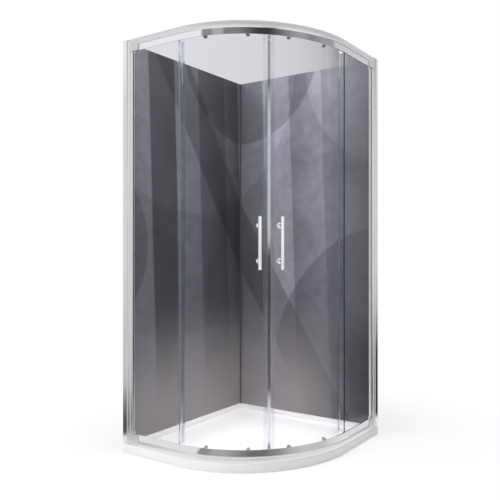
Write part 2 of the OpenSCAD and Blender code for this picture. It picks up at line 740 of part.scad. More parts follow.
wheel(rear_roller_a, top_axle_z);  // left_top_wheel_rear
wheel(front_roller_a, bottom_axle_z);  // left_bottom_wheel_front
wheel(rear_roller_a, bottom_axle_z);  // left_bottom_wheel_rear
flip() door_glass();  // right_door_glass
flip() magnet_seal();  // right_magnet_seal
flip() magnet_strip();  // right_magnet_strip
flip() rear_seal();  // right_rear_seal
flip() bottom_seal();  // right_bottom_seal
flip() handle_bar();  // right_handle_bar
flip() handle_posts();  // right_handle_posts
flip() handle_screws();  // right_handle_screws
flip() roller_carriers();  // right_roller_carriers
flip() lower_guides();  // right_lower_guides
flip() clamp_caps();  // right_clamp_caps
flip() wheel(front_roller_a, top_axle_z);  // right_top_wheel_front
flip() wheel(rear_roller_a, top_axle_z);  // right_top_wheel_rear
flip() wheel(front_roller_a, bottom_axle_z);  // right_bottom_wheel_front
flip() wheel(rear_roller_a, bottom_axle_z);  // right_bottom_wheel_rear
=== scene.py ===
import json
import math

import bmesh
import bpy
import numpy as np
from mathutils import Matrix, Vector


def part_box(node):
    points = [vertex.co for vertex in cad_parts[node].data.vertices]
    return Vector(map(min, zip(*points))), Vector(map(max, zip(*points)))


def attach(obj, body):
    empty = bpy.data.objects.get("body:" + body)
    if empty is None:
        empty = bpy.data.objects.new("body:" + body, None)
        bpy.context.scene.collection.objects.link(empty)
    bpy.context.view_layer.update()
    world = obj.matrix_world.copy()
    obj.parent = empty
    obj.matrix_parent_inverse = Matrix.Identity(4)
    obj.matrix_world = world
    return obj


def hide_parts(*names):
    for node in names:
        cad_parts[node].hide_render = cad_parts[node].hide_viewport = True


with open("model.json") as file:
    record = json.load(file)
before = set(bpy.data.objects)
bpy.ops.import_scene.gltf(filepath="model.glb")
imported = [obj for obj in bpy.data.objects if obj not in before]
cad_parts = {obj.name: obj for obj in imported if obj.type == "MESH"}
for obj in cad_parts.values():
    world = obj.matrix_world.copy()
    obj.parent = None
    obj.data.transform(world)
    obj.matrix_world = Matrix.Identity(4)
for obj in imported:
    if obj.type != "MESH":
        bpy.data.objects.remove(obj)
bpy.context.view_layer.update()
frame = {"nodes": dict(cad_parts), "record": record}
nodes = frame["nodes"]
scene = bpy.context.scene
print("frame loaded:", len(nodes), "nodes")

# The cabin's plan: two walls behind and to the left, a front that runs straight, curved and straight
mm = 0.001
plan = {
    "half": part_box("shower_tray")[1].x,
    "frontRadius": 0.550,
    "doorRadius": 0.5055,
    "railStart": 0.047,
    "trayTop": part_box("shower_tray")[1].z,
    "frameTop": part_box("post_caps")[1].z,
    "railBand": 0.0275,      # height on a rail at which its rounded face meets the flat band
    "sealGap": 0.0006,
}
curveCentre = np.array([plan["half"] - plan["frontRadius"], plan["frontRadius"] - plan["half"]])
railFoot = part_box("bottom_rail")[1].z      # clear height between the two rails
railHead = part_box("top_rail")[0].z


def addNode(tree, kind, settings=None, inputs=None):
    # settings are the node's own choices, inputs are numbers or the sockets to link
    made = tree.nodes.new(kind)
    for key, value in (settings or {}).items():
        setattr(made, key, value)
    for key, value in (inputs or {}).items():
        if isinstance(value, bpy.types.NodeSocket):
            tree.links.new(value, made.inputs[key])
        else:
            made.inputs[key].default_value = value
    return made


def startGroup(name, inputs, outputs):
    # an empty node group: its tree, what comes in and what goes out
    kinds = {"value": "NodeSocketFloat", "vector": "NodeSocketVector"}
    tree = bpy.data.node_groups.new(name, "ShaderNodeTree")
    for label, (kind, start) in inputs.items():
        socket = tree.interface.new_socket(label, in_out="INPUT", socket_type=kinds[kind])
        if start is not None:
            socket.default_value = start
    for label, kind in outputs.items():
        tree.interface.new_socket(label, in_out="OUTPUT", socket_type=kinds[kind])
    return tree, addNode(tree, "NodeGroupInput").outputs, addNode(tree, "NodeGroupOutput").inputs


def grey(level):
    return (level, level, level, 1)


def shaded(colour, share):
    return tuple(share * c for c in colour[:3]) + (1,)


def mixColours(tree, share, low, high, blend="MIX"):
    # inputs 6 and 7 and output 2 are the mix node's colour sockets
    made = addNode(tree, "ShaderNodeMix", {"data_type": "RGBA", "blend_type": blend}, {
        "Factor": share, 6: low, 7: high})
    return made.outputs[2]


def mixShaders(tree, share, low, high):
    return addNode(tree, "ShaderNodeMixShader", None, {
        0: share, 1: low.outputs[0], 2: high.outputs[0]})


def useMath(tree, operation, first, second=0.0, clamp=False):
    made = addNode(tree, "ShaderNodeMath", {"operation": operation, "use_clamp": clamp}, {
        0: first, 1: second})
    return made.outputs[0]


def times(tree, first, second):
    return useMath(tree, "MULTIPLY", first, second)


def remap(tree, value, fromLow, fromHigh, toLow=0.0, toHigh=1.0, shape="LINEAR"):
    return addNode(tree, "ShaderNodeMapRange", {"interpolation_type": shape}, {
        "Value": value, "From Min": fromLow, "From Max": fromHigh,
        "To Min": toLow, "To Max": toHigh}).outputs["Result"]


def stepsOf(tree, value, rows, low, high):
    # a level for each value: the rows give values between low and high with their levels
    ramp = addNode(tree, "ShaderNodeValToRGB", None, {"Fac": remap(tree, value, low, high)})
    stops = ramp.color_ramp.elements
    for index, (place, level) in enumerate(rows):
        spot = (place - low) / (high - low)
        stop = stops[index] if index < 2 else stops.new(spot)
        stop.position, stop.color = spot, grey(level)
    return ramp.outputs["Color"]


noiseSpan = (0.3, 0.7)      # most of a noise's values lie between these


def addNoise(tree, start, inputs):
    # noise over the group's own vector
    return addNode(tree, "ShaderNodeTexNoise", None, {
        "Vector": start["Vector"], **inputs}).outputs[0]


def makeMottle():
    # soft clouds, finer stains and small pits, each a value from 0 to 1
    tree, start, end = startGroup(
        "mottle", {"Vector": ("vector", None), "Scale": ("value", 3.0), "Warp": ("value", 0.6)},
        {"Clouds": "value", "Stains": "value", "Pits": "value"})
    wide = addNoise(tree, start, {"Scale": start["Scale"], "Detail": 6.0, "Roughness": 0.58,
                                  "Distortion": start["Warp"]})
    fineScale = times(tree, start["Scale"], 6.5)
    fine = addNoise(tree, start, {"Scale": fineScale, "Detail": 8.0, "Roughness": 0.66})
    pitScale = times(tree, start["Scale"], 30.0)
    pit = addNode(tree, "ShaderNodeTexVoronoi", {"feature": "F1"}, {
        "Vector": start["Vector"], "Scale": pitScale, "Randomness": 1.0})
    tree.links.new(wide, end["Clouds"])
    tree.links.new(fine, end["Stains"])
    tree.links.new(remap(tree, pit.outputs["Distance"], 0.03, 0.11, 1.0, 0.0), end["Pits"])
    return tree


def makeDrawLines():
    # fine lines left by drawing metal through its die: noise stretched along one axis
    tree, start, end = startGroup(
        "drawLines", {"Vector": ("vector", None), "Fineness": ("value", 900.0)},
        {"Lines": "value", "Haze": "value"})
    lines = addNoise(tree, start, {"Scale": start["Fineness"], "Detail": 3.0, "Roughness": 0.7})
    haze = addNoise(tree, start, {"Scale": 7.0, "Detail": 4.0, "Roughness": 0.5})
    tree.links.new(lines, end["Lines"])
    tree.links.new(haze, end["Haze"])
    return tree


def makeFineSkin():
    # the faint unevenness of moulded and cast skins: a normal and a value for roughness
    tree, start, end = startGroup(
        "fineSkin", {"Vector": ("vector", None), "Scale": ("value", 400.0), "Depth": ("value", 0.1)},
        {"Skin": "value", "Normal": "vector"})
    grain = addNoise(tree, start, {"Scale": start["Scale"], "Detail": 4.0})
    bump = addNode(tree, "ShaderNodeBump", None, {
        "Strength": start["Depth"], "Distance": 0.0005, "Height": grain})
    tree.links.new(grain, end["Skin"])
    tree.links.new(bump.outputs["Normal"], end["Normal"])
    return tree


groups = {"mottle": makeMottle(), "drawLines": makeDrawLines(), "fineSkin": makeFineSkin()}


def placeGroup(tree, name, inputs):
    return addNode(tree, "ShaderNodeGroup", {"node_tree": groups[name]}, inputs).outputs


def axesOf(tree, vector):
    return addNode(tree, "ShaderNodeSeparateXYZ", None, {"Vector": vector}).outputs


def startMaterial(name, plain):
    # plain holds the numbers and colours that are the same all over the surface
    material = bpy.data.materials.new(name)
    material.use_nodes = True
    tree = material.node_tree
    shader = tree.nodes["Principled BSDF"]
    for key, value in plain.items():
        shader.inputs[key].default_value = value
    place = addNode(tree, "ShaderNodeTexCoord").outputs["Object"]
    return material, tree, shader, place


def dress(tree, shader, colour, rough, normal):
    for name, socket in (("Base Color", colour), ("Roughness", rough), ("Normal", normal)):
        tree.links.new(socket, shader.inputs[name])


# The tray's faint clouds lie between two whites
trayLook = {
    "base": (0.885, 0.888, 0.885, 1), "shade": (0.875, 0.878, 0.877, 1), "cloudSpan": (0.35, 0.75),
    "cloudShare": 0.5, "rough": (0.27, 0.31),
}


def makeTrayWhite():
    material, tree, shader, place = startMaterial("trayWhite", {"IOR": 1.5, "Coat Weight": 0.15})
    mottle = placeGroup(tree, "mottle", {"Vector": place, "Scale": 4.0, "Warp": 0.2})
    skin = placeGroup(tree, "fineSkin", {"Vector": place, "Scale": 500.0, "Depth": 0.02})
    clouds = remap(tree, mottle["Clouds"], *trayLook["cloudSpan"], 0.0, trayLook["cloudShare"])
    colour = mixColours(tree, clouds, trayLook["base"], trayLook["shade"])
    rough = remap(tree, mottle["Stains"], *noiseSpan, *trayLook["rough"])
    dress(tree, shader, colour, rough, skin["Normal"])
    return material


# Back panels: leaning planes of slate tones, one slanting band and wide round forms, with stains over
# them, and a painted reflection low down: a pale haze standing in for what the glass in front mirrors
# there.
# Along runs round both walls, X + Y: from the left post at -0.86 through the corner at 0 to the
# right post at 0.86. Planes are (along, tone), cross (along, gain), rounds (along, height, radius, gain)
slate = {
    "span": 0.90,       # the rows of planes and cross lie between -span and span
    "planes": ((-0.86, 0.175), (-0.705, 0.150), (-0.702, 0.055), (-0.525, 0.050), (-0.522, 0.150),
               (-0.345, 0.125), (-0.342, 0.070), (-0.125, 0.045), (-0.122, 0.070), (0.0, 0.045),
               (0.001, 0.125), (0.195, 0.160), (0.198, 0.330), (0.375, 0.270), (0.378, 0.170),
               (0.585, 0.225), (0.588, 0.165), (0.86, 0.085)),
    "lean": 0.035, "leanAbout": 0.98,
    "cross": ((-0.86, 1.0), (-0.20, 1.0), (-0.197, 0.58), (0.045, 0.70), (0.048, 1.15), (0.86, 1.0)),
    "crossLean": 0.62, "crossAt": 0.72,
    "rounds": ((-1.20, 0.98, 0.46, 0.68), (-0.42, 1.95, 0.80, 1.22), (-0.28, -0.15, 0.68, 1.25),
               (0.02, 2.10, 0.52, 0.62), (1.05, 0.30, 0.80, 0.66), (1.02, 1.95, 0.56, 1.30)),
    "roundEdge": 0.004, "cloudSpan": (0.25, 0.75), "clouds": (0.78, 1.25), "stains": (0.84, 1.16),
    "tint": (0.955, 0.95, 1.10, 1),
    # the low haze tone, heights, along and share are a painted reflection, not the panels' own colour
    "paintedHazeTone": (0.33, 0.305, 0.310, 1), "paintedHazeHeights": (0.75, 0.08), "paintedHazeAlong": (0.75, 0.40),
    "paintedHazeShare": 0.9, "pit": (0.030, 0.030, 0.034, 1), "pitShare": 0.22, "rough": (0.27, 0.33),
    "relief": (0.05, 0.0006),
    "backing": ((0.115, 0.115, 0.12, 1), (0.14, 0.14, 0.145, 1)), "backingDepth": (0.0006, 0.0004),
}


def makePanelSlate():
    material, tree, shader, place = startMaterial("panelSlate", {"IOR": 1.5, "Specular IOR Level": 0.3})
    axes = axesOf(tree, place)
    along = useMath(tree, "ADD", axes["X"], axes["Y"])
    height = axes["Z"]
    sheet = addNode(tree, "ShaderNodeCombineXYZ", None, {"X": along, "Y": height}).outputs[0]
    mottle = placeGroup(tree, "mottle", {"Vector": sheet, "Scale": 2.6, "Warp": 0.9})
    raised = useMath(tree, "SUBTRACT", height, slate["leanAbout"])
    leaning = useMath(tree, "ADD", along, times(tree, raised, slate["lean"]))
    tone = stepsOf(tree, leaning, slate["planes"], -slate["span"], slate["span"])
    slanting = useMath(tree, "ADD", useMath(tree, "SUBTRACT", along, slate["crossAt"]),
                       times(tree, height, slate["crossLean"]))
    cross = stepsOf(tree, slanting, slate["cross"], -slate["span"], slate["span"])
    tone = times(tree, tone, cross)
    for middle, high, radius, gain in slate["rounds"]:
        # inside a round form the distance from (middle, high) is below the radius
        centre = addNode(tree, "ShaderNodeCombineXYZ", None, {"X": middle, "Y": high}).outputs[0]
        away = addNode(tree, "ShaderNodeVectorMath", {"operation": "DISTANCE"}, {0: sheet, 1: centre})
        inside, outside = radius - slate["roundEdge"], radius + slate["roundEdge"]
        share = remap(tree, away.outputs["Value"], inside, outside, gain, 1.0)
        tone = times(tree, tone, share)
    clouds = remap(tree, mottle["Clouds"], *slate["cloudSpan"], *slate["clouds"])
    stains = remap(tree, mottle["Stains"], *noiseSpan, *slate["stains"])
    tone = times(tree, times(tree, tone, clouds), stains)
    colour = mixColours(tree, 1.0, tone, slate["tint"], "MULTIPLY")
    # painted reflection: a pale haze mixed in towards the bottom, from the left wall through the corner,
    # fading out before the right post, standing in for what the glass in front mirrors there
    low = remap(tree, height, *slate["paintedHazeHeights"], 0.0, slate["paintedHazeShare"], "SMOOTHSTEP")
    low = times(tree, low, remap(tree, along, *slate["paintedHazeAlong"]))
    colour = mixColours(tree, low, colour, slate["paintedHazeTone"])
    pits = times(tree, mottle["Pits"], slate["pitShare"])
    colour = mixColours(tree, pits, colour, slate["pit"])
    # the face against the wall is plain backing: its depth is min(X + half, half - Y)
    behind = useMath(tree, "MINIMUM", useMath(tree, "ADD", axes["X"], plan["half"]),
                     useMath(tree, "SUBTRACT", plan["half"], axes["Y"]))
    backing = mixColours(tree, remap(tree, mottle["Clouds"], *noiseSpan), *slate["backing"])
    colour = mixColours(tree, remap(tree, behind, *slate["backingDepth"]), colour, backing)
    rough = remap(tree, mottle["Stains"], *noiseSpan, *slate["rough"])
    strength, depth = slate["relief"]
    bump = addNode(tree, "ShaderNodeBump", None, {
        "Strength": strength, "Distance": depth, "Height": mottle["Stains"]})
    dress(tree, shader, colour, rough, bump.outputs["Normal"])
    return material


# Aluminium shows the lines of its die, other metal finer ones
metal = {
    "dieFineness": 260.0, "dieRelief": 0.04, "shade": 0.95, "hazeSpan": (0.35, 0.65),
    "smoother": 0.7, "rougher": 1.4, "satin": 0.30, "satinEdge": 0.0005,
}


def makeMetal(name, colour, rough, stretch=(1, 1, 1), fineness=400.0, relief=0.03,
              satinBelow=None, satinAbove=None):
    # fine draw lines in the gloss; a rail's rounded face is more satin, below or above a height
    material, tree, shader, place = startMaterial(name, {"Metallic": 1.0})
    stretched = addNode(tree, "ShaderNodeMapping", None, {"Vector": place, "Scale": stretch}).outputs[0]
    lines = placeGroup(tree, "drawLines", {"Vector": stretched, "Fineness": fineness})
    haze = remap(tree, lines["Haze"], *metal["hazeSpan"])
    hazed = mixColours(tree, haze, colour, shaded(colour, metal["shade"]))
    value = remap(tree, lines["Lines"], *noiseSpan,
                  rough * metal["smoother"], rough * metal["rougher"])
    height = axesOf(tree, place)["Z"]
    for edge, way in ((satinBelow, -1), (satinAbove, 1)):
        if edge is not None:
            low, high = edge - way * metal["satinEdge"], edge + way * metal["satinEdge"]
            value = useMath(tree, "ADD", value, remap(tree, height, low, high, 0.0, metal["satin"]))
    bump = addNode(tree, "ShaderNodeBump", None, {
        "Strength": relief, "Distance": 0.0002, "Height": lines["Lines"]})
    dress(tree, shader, hazed, value, bump.outputs["Normal"])
    return material


def makeAluminium(name, colour, rough, stretch, **satin):
    return makeMetal(name, colour, rough, stretch, metal["dieFineness"], metal["dieRelief"], **satin)


# Glass that mirrors little; its colour darkens where it is seen along its face, a painted shade standing
# in for the dark reflections glass shows at a grazing view
glass = {
    "index": 1.2, "mirrored": (0.35, 0.35, 0.36, 1), "tint": (0.97, 0.972, 0.98, 1),
    "paintedGrazingShade": (0.77, 0.775, 0.81, 1), "grazing": (0.40, 0.56), "lampTint": (0.93, 0.93, 0.94, 1),
}


def makeGlass():
    material, tree, shader = startMaterial("clearGlass", {
        "IOR": glass["index"], "Transmission Weight": 1.0, "Roughness": 0.0,
        "Specular Tint": glass["mirrored"]})[:3]
    facing = addNode(tree, "ShaderNodeLayerWeight", None, {"Blend": 0.5}).outputs["Facing"]
    share = remap(tree, facing, *glass["grazing"])
    # painted shade: the colour darkens towards a grazing view, in place of the dark reflections there
    colour = mixColours(tree, share, glass["tint"], glass["paintedGrazingShade"])
    tree.links.new(colour, shader.inputs["Base Color"])
    letThrough(tree, shader, glass["lampTint"])
    return material


def letThrough(tree, shader, colour):
    # the lamps' light passes, so that what stands behind is lit
    path = addNode(tree, "ShaderNodeLightPath").outputs["Is Shadow Ray"]
    clear = addNode(tree, "ShaderNodeBsdfTransparent", None, {"Color": colour})
    mixed = mixShaders(tree, path, shader, clear)
    tree.links.new(mixed.outputs[0], tree.nodes["Material Output"].inputs["Surface"])


# Moulded plastic or rubber: faint cloudiness in the colour, a fine skin in the gloss
plastic = {
    "index": 1.48, "fineness": 600.0, "clouds": 9.0, "cloudSpan": (0.35, 0.7), "shade": 0.94,
    "smoother": 0.8, "rougher": 1.25,
}


def makePlastic(name, colour, rough, plain=None, relief=0.1, clear=None):
    material, tree, shader, place = startMaterial(name, {"IOR": plastic["index"], **(plain or {})})
    skin = placeGroup(tree, "fineSkin", {"Vector": place, "Scale": plastic["fineness"], "Depth": relief})
    mottle = placeGroup(tree, "mottle", {"Vector": place, "Scale": plastic["clouds"], "Warp": 0.3})
    clouds = remap(tree, mottle["Clouds"], *plastic["cloudSpan"])
    clouded = mixColours(tree, clouds, colour, shaded(colour, plastic["shade"]))
    value = remap(tree, skin["Skin"], *noiseSpan,
                  rough * plastic["smoother"], rough * plastic["rougher"])
    dress(tree, shader, clouded, value, skin["Normal"])
    if clear:
        letThrough(tree, shader, clear)
    return material


silver = (0.91, 0.915, 0.93, 1)
alongPost, alongRail = (1, 1, 0.02), (0.3, 0.3, 3)      # how the draw lines are stretched
clearPlastic = {"Transmission Weight": 0.994, "IOR": 1.045}
milkyPlastic = {"Transmission Weight": 0.98, "IOR": 1.07}
looks = {
    "tray_white": makeTrayWhite(),
    "panel_slate": makePanelSlate(),
    "wallProfile": makeAluminium("polishedPost", silver, 0.10, alongPost),
    "frameProfile": makeAluminium("satinPost", (0.93, 0.935, 0.94, 1), 0.30, alongPost),
    "topRail": makeAluminium("topRailAluminium", silver, 0.06, alongRail,
                             satinAbove=plan["frameTop"] - plan["railBand"]),
    "bottomRail": makeAluminium("bottomRailAluminium", silver, 0.06, alongRail,
                                satinBelow=plan["trayTop"] + plan["railBand"]),
    "clear_glass": makeGlass(),
    "clear_seal": makePlastic("clearSeal", (0.94, 0.96, 0.985, 1), 0.06, clearPlastic, 0.03,
                              clear=(0.9, 0.92, 0.95, 1)),
    "magnetSeal": makePlastic("milkySeal", (0.955, 0.965, 0.985, 1), 0.08, milkyPlastic, 0.03,
                              clear=(0.85, 0.88, 0.92, 1)),
    "magnet": makeMetal("magnetStrip", (0.93, 0.94, 0.955, 1), 0.06, alongPost),
    "rubber": makePlastic("softRubber", (0.03, 0.03, 0.033, 1), 0.6, None, 0.25),
    "glazingRubber": makePlastic("glazingRubber", (0.035, 0.035, 0.04, 1), 0.5, None, 0.2),
    "grey_plastic": makePlastic("greyPlastic", (0.42, 0.43, 0.47, 1), 0.32),
    "endCover": makeAluminium("endCover", (0.88, 0.885, 0.90, 1), 0.45, alongRail),
    "white_plastic": makePlastic("whitePlastic", (0.82, 0.82, 0.82, 1), 0.25),
    "wheel_nylon": makePlastic("wheelNylon", (0.74, 0.72, 0.66, 1), 0.4),
    "profile_dark": makeMetal("cornerAluminium", (0.10, 0.10, 0.11, 1), 0.35, alongPost),
    "drain_chrome": makeMetal("drainChrome", (0.88, 0.89, 0.90, 1), 0.06),
    "chrome": makeMetal("handleChrome", (0.95, 0.955, 0.965, 1), 0.07),
    "steel": makeMetal("bareSteel", (0.62, 0.62, 0.63, 1), 0.24),
}
ownLooks = {"top_rail": "topRail", "bottom_rail": "bottomRail"}
for side in ("left", "right"):
    ownLooks[side + "_wall_profile"] = "wallProfile"
    ownLooks[side + "_frame_profile"] = ownLooks[side + "_glazing_profile"] = "frameProfile"
    ownLooks[side + "_glass_gasket"] = "glazingRubber"
    ownLooks["top_" + side + "_bracket"] = ownLooks["bottom_" + side + "_bracket"] = "endCover"
    ownLooks[side + "_lower_guides"] = "white_plastic"
for row in frame["record"]["subparts"]:
    name = row["node"]
    nodes[name].data.materials.clear()
    nodes[name].data.materials.append(looks[ownLooks.get(name, row["material_slot"])])
print("materials made:", len(looks))


def roundPolygon(corners, cuts, steps=4):
    # each corner b is cut on both sides, at a and c: (1 - t)^2 a + 2 t (1 - t) b + t^2 c
    corners = np.asarray(corners, float)
    cuts = np.broadcast_to(np.asarray(cuts, float), len(corners))[:, None]
    back, ahead = np.roll(corners, 1, 0) - corners, np.roll(corners, -1, 0) - corners
    a = corners + cuts * back / np.linalg.norm(back, axis=1)[:, None]
    c = corners + cuts * ahead / np.linalg.norm(ahead, axis=1)[:, None]
    t = np.linspace(0, 1, steps + 1)[:, None, None]
    points = (1 - t) ** 2 * a + 2 * t * (1 - t) * corners + t ** 2 * c
    points = points.transpose(1, 0, 2).reshape(-1, 2)
    fresh = np.linalg.norm(points - np.roll(points, 1, 0), axis=1) > 1e-3
    return points[fresh]


def gridFaces(rows, columns, wrapRows, wrapColumns):
    # four-sided faces between neighbouring points of a grid, round to the start where it wraps
    row = np.arange(rows if wrapRows else rows - 1)[:, None]
    column = np.arange(columns if wrapColumns else columns - 1)[None, :]
    nextRow, nextColumn = (row + 1) % rows, (column + 1) % columns
    corners = [row * columns + column, row * columns + nextColumn,
               nextRow * columns + nextColumn, nextRow * columns + column]
    return np.stack([np.broadcast_to(c, (row.size, column.size)) for c in corners], -1).reshape(-1, 4)


def sweep(section, base, inward, origin, rise):
    # a section of (depth, height) carried along a path: base + depth * inward, origin + rise * height
    flat = base[:, None] + inward[:, None] * section[None, :, :1]
    height = np.broadcast_to(origin + rise * section[None, :, 1:], flat[..., :1].shape)
    return np.concatenate([flat, height], -1)


def upright(outline, low, high):
    # a plan outline drawn up from one height to another
    both = np.stack([outline, outline])
    heights = np.broadcast_to(np.array([low, high])[:, None, None], both[..., :1].shape)
    return np.concatenate([both, heights], -1)


def lathe(profile, origin, axis, steps=48):
    # origin + along * axis + radius * (cos u * side + sin u * other), the profile gives (along, radius)
    axis = np.asarray(axis, float)
    side = np.cross(axis, (0, 0, 1)) if abs(axis[2]) < 0.9 else np.array([1.0, 0, 0])
    side = side / np.linalg.norm(side)
    turn = np.linspace(0, 2 * np.pi, steps, endpoint=False)[None, :, None]
    ring = np.cos(turn) * side + np.sin(turn) * np.cross(axis, side)
    along, radius = np.asarray(profile, float).T[:, :, None, None]
    return np.asarray(origin, float) + along * axis + radius * ring


def mirrored(grid):
    # the right half mirrors the left in the upright plane through the back corner: (x, y) to (-y, -x)
    return grid[..., [1, 0, 2]] * (-1, -1, 1)


def frontPoints(places):
    # places along the straight front: distance from the wall, depth from the tray's edge, in millimetres
    return np.asarray(places, float) * mm - plan["half"]


def arcPoints(places, reference=0.0):
    # places on the curve: distance along the door glass from an angle, radius from the curve's centre
    along, radius = (np.asarray(places, float) * mm).T
    angle = reference + along / plan["doorRadius"]
    return curveCentre + radius[:, None] * np.stack([np.sin(angle), -np.cos(angle)], -1)


def frontPath(start, bend=91):
    # the tray's edge with its inward direction: straight, a quarter turn, straight
    turn = np.linspace(0, np.pi / 2, bend)
    outward = np.stack([np.sin(turn), -np.cos(turn)], -1)
    half = plan["half"]
    base = np.concatenate([[[start - half, -half]], curveCentre + plan["frontRadius"] * outward,
                           [[half, half - start]]])
    return base, -np.concatenate([outward[:1], outward, outward[-1:]])


def link(thing):
    scene.collection.objects.link(thing)
    return thing


def closeRims(shape, ends):
    # each end of a drawn or swept piece gets its flat face, with its holes left open
    for marked in ends:
        edges = [e for e in shape.edges if e.is_boundary and all(v in marked for v in e.verts)]
        if edges:
            bmesh.ops.triangle_fill(shape, use_beauty=True, edges=edges)


def makePiece(name, grids, look, body, replaced, sharp=50):
    # grids hold (points, closed along the rows, open ends to be closed flat); all wrap along the columns
    points, faces, ends, count = [], [], [[], []], 0
    for grid, wrapRows, closeEnds in grids:
        rows, columns = grid.shape[:2]
        points.append(grid.reshape(-1, 3))
        faces.append(gridFaces(rows, columns, wrapRows, True) + count)
        if closeEnds:
            ends[0] += range(count, count + columns)
            ends[1] += range(count + (rows - 1) * columns, count + rows * columns)
        count += rows * columns
    mesh = bpy.data.meshes.new(name)
    mesh.from_pydata(np.concatenate(points).tolist(), [], np.concatenate(faces).tolist())
    shape = bmesh.new()
    shape.from_mesh(mesh)
    shape.verts.ensure_lookup_table()
    closeRims(shape, [{shape.verts[i] for i in end} for end in ends])
    bmesh.ops.remove_doubles(shape, verts=shape.verts, dist=1e-6)
    bmesh.ops.recalc_face_normals(shape, faces=shape.faces)
    shape.to_mesh(mesh)
    shape.free()
    mesh.shade_smooth()
    mesh.set_sharp_from_angle(angle=math.radians(sharp))
    made = link(bpy.data.objects.new(name, mesh))
    even = made.modifiers.new("evenNormals", "WEIGHTED_NORMAL")
    even.keep_sharp = True
    mesh.materials.append(looks[look])
    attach(made, body)
    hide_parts(*replaced)


# Rails: one extrusion for the top and the bottom, in millimetres from the tray's edge and from the
# rail's outer end
rail = {
    "front": 1.0, "crownRadius": 60.0, "crown": 28.0, "height": 57.0, "wall": 2.0,
    "band": 5.5, "bandBack": 7.5, "grooveBack": 13.9, "channel": 15.9, "grooveHeight": 49.0,
    "ledge": 40.0, "ledgeTop": 42.4, "lipUnder": 36.5, "lip": 33.9, "depth": 35.5, "hood": 16.0,
    "rounding": 0.45, "lineAt": 8.5, "lineHalf": 0.5, "lineDepth": 0.35, "facePoints": 29,
    "chamberPoints": 13,
}


def crownFace(radius, heights):
    # the rounded face: depth = front + crown radius - sqrt(radius^2 - (height - middle)^2)
    middle = rail["crown"] / 2
    depth = rail["front"] + rail["crownRadius"] - np.sqrt(radius ** 2 - (heights - middle) ** 2)
    return np.stack([depth, heights], -1)


def railSection():
    heights = np.linspace(0, rail["crown"], rail["facePoints"])
    face = crownFace(rail["crownRadius"], heights)
    face[:, 0] += rail["lineDepth"] * np.exp(-((heights - rail["lineAt"]) / rail["lineHalf"]) ** 2)
    names = (("band", "crown"), ("band", "height"), ("bandBack", "height"), ("bandBack", "crown"),
             ("grooveBack", "crown"), ("grooveBack", "grooveHeight"), ("channel", "grooveHeight"),
             ("channel", "ledgeTop"), ("depth", "ledgeTop"), ("depth", "lipUnder"), ("lip", "lipUnder"),
             ("lip", "ledge"), ("channel", "ledge"), ("channel", "wall"), ("lip", "wall"),
             ("lip", "hood"), ("depth", "hood"))
    corners = [(rail[depth], rail[height]) for depth, height in names] + [(rail["depth"], 0)]
    cuts = np.concatenate([[rail["rounding"]], np.zeros(len(face) - 2), [rail["rounding"]],
                           np.full(len(corners), rail["rounding"])])
    return roundPolygon(np.concatenate([face, corners]), cuts) * mm


def chamberSection():
    inner = crownFace(rail["crownRadius"] - rail["wall"],
                      np.linspace(rail["wall"], rail["crown"] - rail["wall"], rail["chamberPoints"]))
    back = [(rail["grooveBack"], rail["crown"] - rail["wall"]), (rail["grooveBack"], rail["wall"])]
    return np.concatenate([inner, back]) * mm


# Tray: a low shell with a recess that falls to the drain, in millimetres. Slope is (inset, rise) from
# the recess's foot, dish is (radius, rise) from its floor
tray = {
    "edge": 3.0, "corner": 4.0, "recessLow": (-405.0, -355.0), "recessHigh": (355.0, 405.0),
    "recessRadius": 455.0, "recessCorner": 26.0, "lip": 2.5, "wall": 3.5, "foot": 23.4, "floor": 22.0,
    "slope": ((2.45, 3.0), (4.1, 0.7)), "drainPlace": (172.236, -172.236),
    "dish": ((70.0, 0.4), (59.6, 0.0), (58.4, -0.5), (58.0, -1.6)), "seatRadius": 58.0, "seat": 16.0,
    "holeRadius": 45.0, "footRound": 1.0, "edgePoints": 6, "arcSteps": (9, 73, 9, 9), "runSteps": 14,
}


def trayLoop(low, high, radius, corner):
    # plan outline: four arcs centre + r (cos u, sin u), joined by straight runs
    centres = [(low[0] + corner, low[1] + corner), curveCentre / mm,
               (high[0] - corner, high[1] - corner), (low[0] + corner, high[1] - corner)]
    arcs = []
    for centre, reach, first, count in zip(centres, (corner, radius, corner, corner),
                                           (1.0, 1.5, 0.0, 0.5), tray["arcSteps"]):
        turn = np.pi * np.linspace(first, first + 0.5, count)[:, None]
        arcs.append(np.asarray(centre) + reach * np.concatenate([np.cos(turn), np.sin(turn)], -1))
    share = np.linspace(0, 1, tray["runSteps"])[1:-1, None]
    runs = [a[-1] + share * (b[0] - a[-1]) for a, b in zip(arcs, arcs[1:] + arcs[:1])]
    return np.concatenate([part for pair in zip(arcs, runs) for part in pair])


